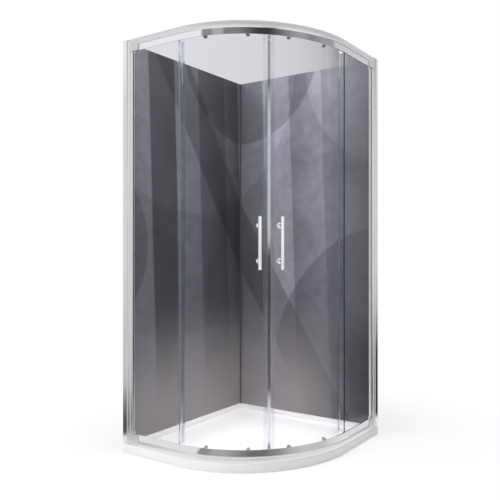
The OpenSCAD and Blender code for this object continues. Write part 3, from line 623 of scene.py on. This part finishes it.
def makeTray():
    half, top = plan["half"] / mm, plan["trayTop"] / mm

    def atHeight(loop, height):
        return np.column_stack([loop, np.full(len(loop), height)])

    def outer(inset, height):
        return atHeight(trayLoop((inset - half, inset - half), (half - inset, half - inset),
                                 plan["frontRadius"] / mm - inset, tray["corner"] - inset), height)

    def inner(inset, height):
        low, high = np.array(tray["recessLow"]) + inset, np.array(tray["recessHigh"]) - inset
        return atHeight(trayLoop(low, high, tray["recessRadius"] - inset,
                                 tray["recessCorner"] - inset), height)

    # the drain's circles keep each point at the angle that the recess has it at
    drain = np.array(tray["drainPlace"])
    floorEdge = inner(tray["wall"] + tray["lip"], tray["foot"])
    way = floorEdge[:, :2] - drain
    way = way / np.linalg.norm(way, axis=1)[:, None]

    def circle(radius, height):
        return atHeight(drain + radius * way, height)

    # edge rounding: inset = r (1 - sin u), height = top - r (1 - cos u)
    turn = np.linspace(0, np.pi / 2, tray["edgePoints"])
    shell = [outer(0.0, tray["footRound"])]
    shell += [outer(tray["edge"] * (1 - math.sin(u)), top - tray["edge"] * (1 - math.cos(u)))
              for u in turn[::-1]]
    shell += [inner(tray["lip"] * math.sin(u) - tray["lip"], top - tray["lip"] * (1 - math.cos(u)))
              for u in turn]
    shell += [inner(inset, tray["foot"] + rise) for inset, rise in tray["slope"]] + [floorEdge]
    shell += [circle(radius, tray["floor"] + rise) for radius, rise in tray["dish"]]
    shell += [circle(tray["seatRadius"], tray["seat"]), circle(tray["holeRadius"], tray["seat"]),
              circle(tray["holeRadius"], 0.0), outer(tray["footRound"], 0.0)]
    makePiece("trayShell", [(np.stack(shell) * mm, True, False)], "tray_white", "cabin",
              ["shower_tray"])


def makeRails():
    base, inward = frontPath(plan["railStart"])
    for name, end, rise, look, node in (
            ("topRailProfile", plan["frameTop"], -1, "topRail", "top_rail"),
            ("bottomRailProfile", plan["trayTop"], 1, "bottomRail", "bottom_rail")):
        grids = [(sweep(section, base, inward, end, rise), False, True)
                 for section in (railSection(), chamberSection())]
        makePiece(name, grids, look, "cabin", [node], sharp=30)


# Seals: clear plastic profiles, in millimetres from the wall and the tray's edge or along the door glass
seal = {
    "wall": 1.2, "rounding": 0.35, "bend": 0.3, "bulb": 1.2, "bulbTurn": (-35, 215, 11),
    "bulbStep": 0.1, "legIn": (499.25, 500.45), "legOut": (505.55, 506.75), "leg": 10.0, "edge": 0.05,
    "fixedEdge": 352.0, "fixedLegs": (6.95, 8.15, 13.25, 14.45), "fixedTip": 34.3,
    "hook": (350.2, 351.4), "hookTip": 17.2, "rearEdge": -17.0, "magnetReach": 15.0,
    "block": (498.3, 507.7), "pocket": (9.75, 13.85), "pocketHalf": 3.55,
    "hollow": (2.4, 8.6), "hollowRadii": (499.6, 506.4), "hollowRound": 0.8,
    "wiperFoot": 42.0, "wiperBridge": (53.75, 54.95), "wiperTop": 62.1, "wiperLip": (503.0, 504.2),
    "wiperShort": 10.6, "wiperPoints": 60,
}


def fixedSealOutline():
    a, b, c, d = seal["fixedLegs"]
    near = seal["fixedEdge"] + seal["edge"]
    far, start = near + seal["wall"], seal["fixedEdge"] - seal["leg"]
    turn = np.radians(np.linspace(*seal["bulbTurn"]))[:, None]
    tip = np.array([(near + far) / 2, seal["fixedTip"]]) + seal["bulb"] * np.concatenate(
        [np.cos(turn), np.sin(turn)], -1)
    back = [(near, d), (start, d), (start, c), (near, c), (near, b), (start, b)]
    corners = np.concatenate([[(start, a), (far, a)], tip, back])
    cuts = np.concatenate([np.full(2, seal["rounding"]), np.full(len(tip), seal["bulbStep"]),
                           np.full(len(back), seal["rounding"])])
    return frontPoints(roundPolygon(corners, cuts))


def rearSealOutline():
    # the legs follow the door glass, the hook reaches forward to the fixed glass's seal
    (legIn, webIn), (webOut, legOut) = seal["legIn"], seal["legOut"]
    inside, reach = seal["rearEdge"] - seal["edge"], seal["rearEdge"] + seal["leg"]
    tip, far = inside - seal["wall"], plan["frontRadius"] / mm
    (near, past), end = seal["hook"], seal["hookTip"]
    corners = [(reach, legIn), (tip, legIn), (tip, legOut), (0, legOut)]
    front = [(near, far - legOut), (near, end), (past, end), (past, far - webOut)]
    back = [(0, webOut), (inside, webOut), (inside, webIn), (reach, webIn)]
    places = np.concatenate([arcPoints(corners), frontPoints(front), arcPoints(back)])
    return roundPolygon(places / mm, seal["bend"]) * mm


def magnetSealOutlines(lead):
    # around the glass edge, then a block with a hollow and a pocket for the magnet strip
    (legIn, webIn), (webOut, legOut) = seal["legIn"], seal["legOut"]
    edge, tip, leg = seal["edge"], seal["magnetReach"], -seal["leg"]
    closed = edge + seal["wall"]
    near, far = seal["block"]
    outline = [(leg, legIn), (closed, legIn), (closed, near), (tip, near), (tip, far), (closed, far),
               (closed, legOut), (leg, legOut), (leg, webOut), (edge, webOut), (edge, webIn),
               (leg, webIn)]
    low, high = (near + far) / 2 - seal["pocketHalf"], (near + far) / 2 + seal["pocketHalf"]
    first, last = seal["pocket"]
    pocket = [(first, low), (last, low), (last, high), (first, high)]
    first, last = seal["hollow"]
    near, far = seal["hollowRadii"]
    hollow = [(first, near), (last, near), (last, far), (first, far)]
    return [arcPoints(roundPolygon(outline, seal["bend"]), lead), arcPoints(pocket, lead),
            arcPoints(roundPolygon(hollow, seal["hollowRound"]), lead)]


def makeSeals(side, turned):
    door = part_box("left_door_glass")
    lead = math.pi / 4 - (seal["magnetReach"] + plan["sealGap"] / mm / 2) * mm / plan["doorRadius"]
    low, high = railFoot + plan["sealGap"], railHead - plan["sealGap"]
    body = side + "_door"
    for name, outlines, bottom, top, look, rider, node in (
            ("FixedSeal", [fixedSealOutline()], low, high, "clear_seal", "cabin", "_fixed_seal"),
            ("RearSeal", [rearSealOutline()], low, high, "clear_seal", body, "_rear_seal"),
            ("MagnetSeal", magnetSealOutlines(lead), door[0].z, door[1].z, "magnetSeal", body,
             "_magnet_seal")):
        grids = [(turned(upright(outline, bottom, top)), False, True) for outline in outlines]
        makePiece(side + name, grids, look, rider, [side + node])
    # the wiper is a section of (radius, height), carried along the door glass
    (legIn, webIn), (webOut, legOut) = seal["legIn"], seal["legOut"]
    near, far = seal["wiperLip"]
    under, over = seal["wiperBridge"]
    foot, top = seal["wiperFoot"], seal["wiperTop"]
    radii = np.array([(legIn, top), (legIn, under), (near, under), (near, foot), (far, foot),
                      (far, under), (legOut, under), (legOut, top), (webOut, top), (webOut, over),
                      (webIn, over), (webIn, top)])
    section = np.column_stack([plan["frontRadius"] / mm - radii[:, 0], radii[:, 1]])
    turn = np.linspace(seal["rearEdge"] * mm / plan["doorRadius"],
                       lead - seal["wiperShort"] * mm / plan["doorRadius"], seal["wiperPoints"])
    outward = np.stack([np.sin(turn), -np.cos(turn)], -1)
    path = sweep(roundPolygon(section, seal["bend"]) * mm,
                 curveCentre + plan["frontRadius"] * outward, -outward, 0, 1)
    makePiece(side + "Wiper", [(turned(path), False, True)], "clear_seal", body,
              [side + "_bottom_seal"])


# Handles: a round bar on two posts with grooved rosettes, in millimetres
handle = {
    "angle": math.pi / 4 - 0.044 / plan["doorRadius"], "barRadius": 8.0, "barRound": 1.6, "barAt": 563.5,
    "barLow": 870.0, "barHigh": 1100.0, "postRadius": 5.0, "postHeights": (907.5, 1062.5),
    "glassAt": 505.6, "rosetteRadius": 13.0, "rosetteDepth": 5.0, "insideAt": 500.2, "capRadius": 9.0,
    "capDepth": 4.0, "boltRadius": 3.0, "boltLength": 20.0, "barInset": 6.0,
}


def roundedEnd(reach, radius, cut, back, steps=5):
    # end of a round bar: (along, radius) = (reach + back * cut (sin u - 1), radius + cut (cos u - 1))
    turn = np.linspace(0, np.pi / 2, steps + 1)
    return np.column_stack([reach + back * cut * (np.sin(turn) - 1), radius + cut * (np.cos(turn) - 1)])


def handleProfiles():
    end = roundedEnd(handle["barHigh"], handle["barRadius"], handle["barRound"], 1)
    start = roundedEnd(handle["barLow"], handle["barRadius"], handle["barRound"], -1)[::-1]
    bar = np.concatenate([[(handle["barLow"], 0)], start, end, [(handle["barHigh"], 0)]]) * mm
    wide, deep, slim = handle["rosetteRadius"], handle["rosetteDepth"], handle["postRadius"]
    # rosette: rounded rim, a ring groove in its face, a small collar at the post
    near = handle["glassAt"]
    reach = handle["barAt"] - near - handle["barInset"]
    post = np.array([(0, 0), (0, wide - 0.6), (0.3, wide - 0.15), (0.8, wide), (deep - 1.2, wide),
                     (deep - 0.6, wide - 0.2), (deep - 0.2, wide - 0.6), (deep, wide - 1.3),
                     (deep, wide - 2.6), (deep - 0.5, wide - 3.0), (deep - 0.5, wide - 3.6),
                     (deep, wide - 4.0), (deep, slim + 2.0), (deep + 0.5, slim + 1.1),
                     (deep + 1.6, slim + 0.25), (deep + 3.0, slim), (reach, slim), (reach, 0)])
    post[:, 0] += near
    wide, deep, bolt = handle["capRadius"], handle["capDepth"], handle["boltRadius"]
    screw = np.array([(-deep, 0), (-deep, 2.2), (-deep + 1.2, 2.2), (-deep + 1.2, 2.6), (-deep, 2.9),
                      (-deep, wide - 1.2), (-deep + 0.35, wide - 0.4), (-deep + 1.2, wide), (-0.4, wide),
                      (0, wide - 0.3), (0, bolt), (handle["boltLength"], bolt),
                      (handle["boltLength"], 0)])
    screw[:, 0] += handle["insideAt"]
    return bar, post * mm, screw * mm


def makeHandle(side, turned):
    outward = np.array([math.sin(handle["angle"]), -math.cos(handle["angle"]), 0])
    centre = np.append(curveCentre, 0)
    bar, post, screw = handleProfiles()
    at = centre + outward * handle["barAt"] * mm
    body = side + "_door"
    makePiece(side + "Bar", [(turned(lathe(bar, at, (0, 0, 1), 64)), False, False)], "chrome", body,
              [side + "_handle_bar"])
    for name, profile, node in (("Posts", post, "_handle_posts"), ("Screws", screw, "_handle_screws")):
        grids = [(turned(lathe(profile, centre + (0, 0, height * mm), outward)), False, False)
                 for height in handle["postHeights"]]
        makePiece(side + name, grids, "chrome", body, [side + node], sharp=32)


# Clamp caps on the inside of the doors, and the caps over the frame screws, in millimetres
caps = {
    "angles": (12.5, 34.5), "insideAt": 500.2, "depth": 7.0, "radius": 9.0, "round": 1.4, "seat": 4.05,
    "screwAt": 18.0, "screwRadius": 5.55, "screwDepth": 3.75, "pitch": 720.0,
}


def makeCaps(side, turned):
    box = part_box(side + "_clamp_caps")
    heights = (box[0].z + caps["radius"] * mm, box[1].z - caps["radius"] * mm)
    deep, wide, cut = caps["depth"], caps["radius"], caps["round"]
    # a shallow dished face inside a rounded rim, and a bore that takes the bolt
    profile = np.array([(-deep + 0.4, 0), (-deep + 0.4, wide * 0.35), (-deep + 0.15, wide * 0.62),
                        (-deep, wide - cut - 0.6), (-deep, wide - cut),
                        (-deep + cut * 0.3, wide - cut * 0.3), (-deep + cut, wide),
                        (-0.6, wide), (-0.2, wide - 0.15), (0, wide - 0.6),
                        (0, caps["seat"]), (-deep / 2, caps["seat"]), (-deep / 2, 0)]) * mm
    profile[:, 0] += caps["insideAt"] * mm
    grids = []
    for angle in np.radians(caps["angles"]):
        outward = (math.sin(angle), -math.cos(angle), 0)
        grids += [(turned(lathe(profile, (*curveCentre, z), outward)), False, False)
                  for z in heights]
    makePiece(side + "ClampCaps", grids, "chrome", side + "_door", [side + "_clamp_caps"],
              sharp=32)


def makeScrewCaps():
    middle = (plan["trayTop"] + plan["frameTop"]) / 2
    deep, wide, back = caps["screwDepth"], caps["screwRadius"], rail["depth"]
    profile = np.array([(deep - 1.45, 0), (deep - 1.45, wide - 1.5), (0, wide - 1.5), (0, wide - 0.2),
                        (0.3, wide), (deep - 1.6, wide), (deep - 0.7, wide - 0.35),
                        (deep - 0.15, wide - 1.2), (deep, wide - 2.4), (deep, 0)]) * mm
    grids = []
    for turned in (lambda grid: grid, mirrored):
        for step in (-1, 0, 1):
            origin = (caps["screwAt"] * mm - plan["half"], back * mm - plan["half"],
                      middle + step * caps["pitch"] * mm)
            grids.append((turned(lathe(profile, origin, (0, 1, 0), 32)), False, False))
    makePiece("screwCaps", grids, "white_plastic", "cabin", ["screw_caps"], sharp=40)


makeTray()
makeRails()
for side, turned in (("left", lambda grid: grid), ("right", mirrored)):
    makeSeals(side, turned)
    makeHandle(side, turned)
    makeCaps(side, turned)
makeScrewCaps()

# Studio. Rows of (azimuth, level), where the azimuth runs from -Y towards +X in degrees, and of
# (distance on the floor, level)
studio = {
    "floorSize": 16.0, "floorColour": (0.69, 0.69, 0.70, 1), "floorDrop": 0.0005,
    "shadowReach": (0.6, 1.6), "shadowCover": 0.72, "skyForLight": 0.42,
    "throughTint": (1.0, 0.99, 1.045, 1),
    "throughGlass": ((-180, 0.70), (-161, 0.70), (-158.5, 0.15), (-155.4, 0.15), (-153.5, 0.20),
                     (-151.2, 0.44), (-150.2, 0.55), (-147.5, 0.64), (-144, 0.70), (-137, 0.74),
                     (180, 0.74)),
    "level": ((-180, 0.66), (-110, 0.70), (-60, 0.70), (-25, 0.80), (-5, 0.96), (80, 0.96), (105, 0.80),
              (135, 0.66), (180, 0.66)),
    "seam": (46, 49, 59, 62), "seamRise": (0.6, -0.2), "seamReach": (1.7, 2.0), "seamDark": 0.03,
    "strip": ((-180, 0.75), (-110, 0.86), (-16, 0.92), (-15, 0.275), (-5, 0.275), (-3, 0.455),
              (6, 0.455), (9, 0.235), (22, 0.235), (35, 0.115), (42, 0.045), (54, 0.045), (62, 0.13),
              (75, 0.28), (88, 0.38), (100, 0.26), (114, 0.35), (128, 0.37), (134, 0.62), (180, 0.75)),
    "stripHeight": (13, 16, 23, 27), "above": 0.66,
    "floorStrip": ((-180, 0.85), (-40, 0.85), (1, 0.80), (2.5, 0.28), (8, 0.28), (11, 0.40), (20, 0.40),
                   (27.5, 0.275), (36, 0.16), (44, 0.165), (52, 0.275), (61, 0.45), (69, 0.58),
                   (85, 0.58), (95, 0.75), (180, 0.85)),
    "stripReach": (0.695, 0.70, 0.84, 0.87), "nearFloor": 0.95, "ringsEnd": 10.0,
    "leftRings": ((0.0, 0.95), (0.88, 0.95), (0.95, 0.08), (1.2, 0.09), (1.6, 0.24), (2.2, 0.57),
                  (10.0, 0.68)),
    "rightRings": ((0.0, 0.95), (0.90, 0.95), (1.0, 0.04), (3.2, 0.05), (4.6, 0.26), (7.0, 0.45),
                   (10.0, 0.55)),
    "leftShare": ((-180, 1), (-60, 1), (-25, 1), (-15, 0), (90, 0), (180, 0)),
    "rightShare": ((-180, 0), (0, 0), (105, 0), (120, 1), (178, 1), (180, 1)),
}


def levelAround(tree, side, name):
    # the studio's level for each azimuth
    return stepsOf(tree, side, studio[name], -180, 180)


def lengthOf(tree, way):
    made = addNode(tree, "ShaderNodeVectorMath", {"operation": "LENGTH"}, {0: way})
    return made.outputs["Value"]


def azimuthOf(tree, axes):
    front = times(tree, axes["Y"], -1.0)
    turn = useMath(tree, "ARCTAN2", axes["X"], front)
    return times(tree, turn, 180 / math.pi)


def betweenAngles(tree, side):
    # a narrow sector ahead of the seam where the doors meet
    first, second, third, last = studio["seam"]
    return times(tree, remap(tree, side, first, second), remap(tree, side, last, third))


def throughOnly(tree, path):
    # 1 for a ray that has only passed through glass, 0 once something has mirrored it
    straight = useMath(tree, "LESS_THAN", path["Glossy Depth"], 0.5)
    return times(tree, path["Is Transmission Ray"], straight)


def makeSky():
    # white for the camera, an even light for matt surfaces, a light studio with darker cards for gloss
    world = bpy.data.worlds.new("studioSky")
    scene.world = world
    world.use_nodes = True
    tree = world.node_tree
    tree.nodes.clear()
    way = addNode(tree, "ShaderNodeTexCoord").outputs["Generated"]
    axes = axesOf(tree, way)
    side = azimuthOf(tree, axes)
    rise = times(tree, useMath(tree, "ARCSINE", axes["Z"]), 180 / math.pi)
    inSeam = times(tree, betweenAngles(tree, side), remap(tree, rise, *studio["seamRise"]))
    level = mixColours(tree, inSeam, levelAround(tree, side, "level"), grey(studio["seamDark"]))
    first, second, third, last = studio["stripHeight"]
    inStrip = remap(tree, rise, first, second, 0, 1, "SMOOTHSTEP")
    gloss = mixColours(tree, inStrip, level, levelAround(tree, side, "strip"))
    over = remap(tree, rise, third, last, 0, 1, "SMOOTHSTEP")
    gloss = mixColours(tree, over, gloss, grey(studio["above"]))
    path = addNode(tree, "ShaderNodeLightPath").outputs
    strength = mixColours(tree, path["Is Glossy Ray"], grey(studio["skyForLight"]), gloss)
    through = mixColours(tree, 1.0, levelAround(tree, side, "throughGlass"),
                         studio["throughTint"], "MULTIPLY")
    strength = mixColours(tree, throughOnly(tree, path), strength, through)
    strength = mixColours(tree, path["Is Camera Ray"], strength, grey(1.0))
    shine = addNode(tree, "ShaderNodeBackground", None, {"Color": strength, "Strength": 1.0})
    out = addNode(tree, "ShaderNodeOutputWorld")
    tree.links.new(shine.outputs[0], out.inputs["Surface"])


def makeFloor():
    # white to the camera but for the object's shadow; gloss sees light and dark rings about the curve
    size = studio["floorSize"]
    mesh = bpy.data.meshes.new("studioFloor")
    corners = [(-size, -size, 0), (size, -size, 0), (size, size, 0), (-size, size, 0)]
    mesh.from_pydata(corners, [], [(0, 1, 2, 3)])
    floor = link(bpy.data.objects.new("studioFloor", mesh))
    floor.location.z = -studio["floorDrop"]
    material, tree, shader, place = startMaterial("studioFloor", {
        "Base Color": studio["floorColour"], "Roughness": 0.9, "Specular IOR Level": 0.0})
    share = remap(tree, lengthOf(tree, place), *studio["shadowReach"],
                  studio["shadowCover"], 1.0, "SMOOTHSTEP")
    path = addNode(tree, "ShaderNodeLightPath").outputs
    seenPlain = useMath(tree, "ADD", path["Is Camera Ray"], throughOnly(tree, path), clamp=True)
    share = times(tree, share, seenPlain)
    glow = addNode(tree, "ShaderNodeEmission", None, {"Color": (1, 1, 1, 1), "Strength": 1.0})
    mixed = mixShaders(tree, share, shader, glow)
    fromCurve = addNode(tree, "ShaderNodeVectorMath", {"operation": "SUBTRACT"}, {
        0: place, 1: (*curveCentre, 0)}).outputs["Vector"]
    axes = axesOf(tree, fromCurve)
    reach = lengthOf(tree, fromCurve)
    side = azimuthOf(tree, axes)
    near, full, wane, far = studio["stripReach"]
    inStrip = times(tree, remap(tree, reach, near, full), remap(tree, reach, far, wane))
    seen = grey(studio["nearFloor"])
    for part in ("left", "right"):
        rings = stepsOf(tree, reach, studio[part + "Rings"], 0.0, studio["ringsEnd"])
        seen = mixColours(tree, levelAround(tree, side, part + "Share"), seen, rings)
    beyond = remap(tree, reach, *studio["seamReach"])
    inSeam = times(tree, betweenAngles(tree, side), beyond)
    seen = mixColours(tree, inSeam, seen, grey(studio["seamDark"]))
    seen = mixColours(tree, inStrip, seen, levelAround(tree, side, "floorStrip"))
    shine = addNode(tree, "ShaderNodeEmission", None, {"Color": seen, "Strength": 1.0})
    ownShine = times(tree, path["Is Glossy Ray"],
                     useMath(tree, "SUBTRACT", 1.0, throughOnly(tree, path)))
    mixed = mixShaders(tree, ownShine, mixed, shine)
    tree.links.new(mixed.outputs[0], tree.nodes["Material Output"].inputs["Surface"])
    floor.data.materials.append(material)


# Lamps: a wide one above the open top and one high at the front left
lamps = {
    "topLamp": {"place": (0.0, 0.0, 3.9), "aim": (0, 0, 0), "size": 1.6, "power": 170},
    "sideLamp": {"place": (-1.7, -2.6, 3.0), "aim": (0, 0, 0.7), "size": 2.0, "power": 85},
}


def addLamp(name, place, aim, size, power):
    lamp = bpy.data.lights.new(name, "AREA")
    lamp.shape, lamp.size, lamp.energy = "SQUARE", size, power
    holder = link(bpy.data.objects.new(name, lamp))
    holder.location = place
    gap = np.array(aim, float) - np.array(place, float)
    holder.rotation_euler = (math.atan2(math.hypot(gap[0], gap[1]), -gap[2]), 0,
                             math.atan2(gap[1], gap[0]) - math.pi / 2)
    holder.visible_glossy = holder.visible_transmission = False


makeSky()
makeFloor()
for name, values in lamps.items():
    addLamp(name, **values)

# The camera stands level, where it was fitted to the photo
view = {
    "place": (1.7801, -2.4255, 0.9624), "turn": 32.174, "lens": 43.59, "sensor": 36.0,
    "shiftX": -0.0996, "shiftY": -0.0033,
}
camera = link(bpy.data.objects.new("photoCamera", bpy.data.cameras.new("photoCamera")))
camera.location = view["place"]
camera.rotation_euler = (math.radians(90), 0, math.radians(view["turn"]))
camera.data.lens, camera.data.sensor_width = view["lens"], view["sensor"]
camera.data.shift_x, camera.data.shift_y = view["shiftX"], view["shiftY"]
scene.camera = camera
scene.view_settings.view_transform = "Standard"
print("studio ready")
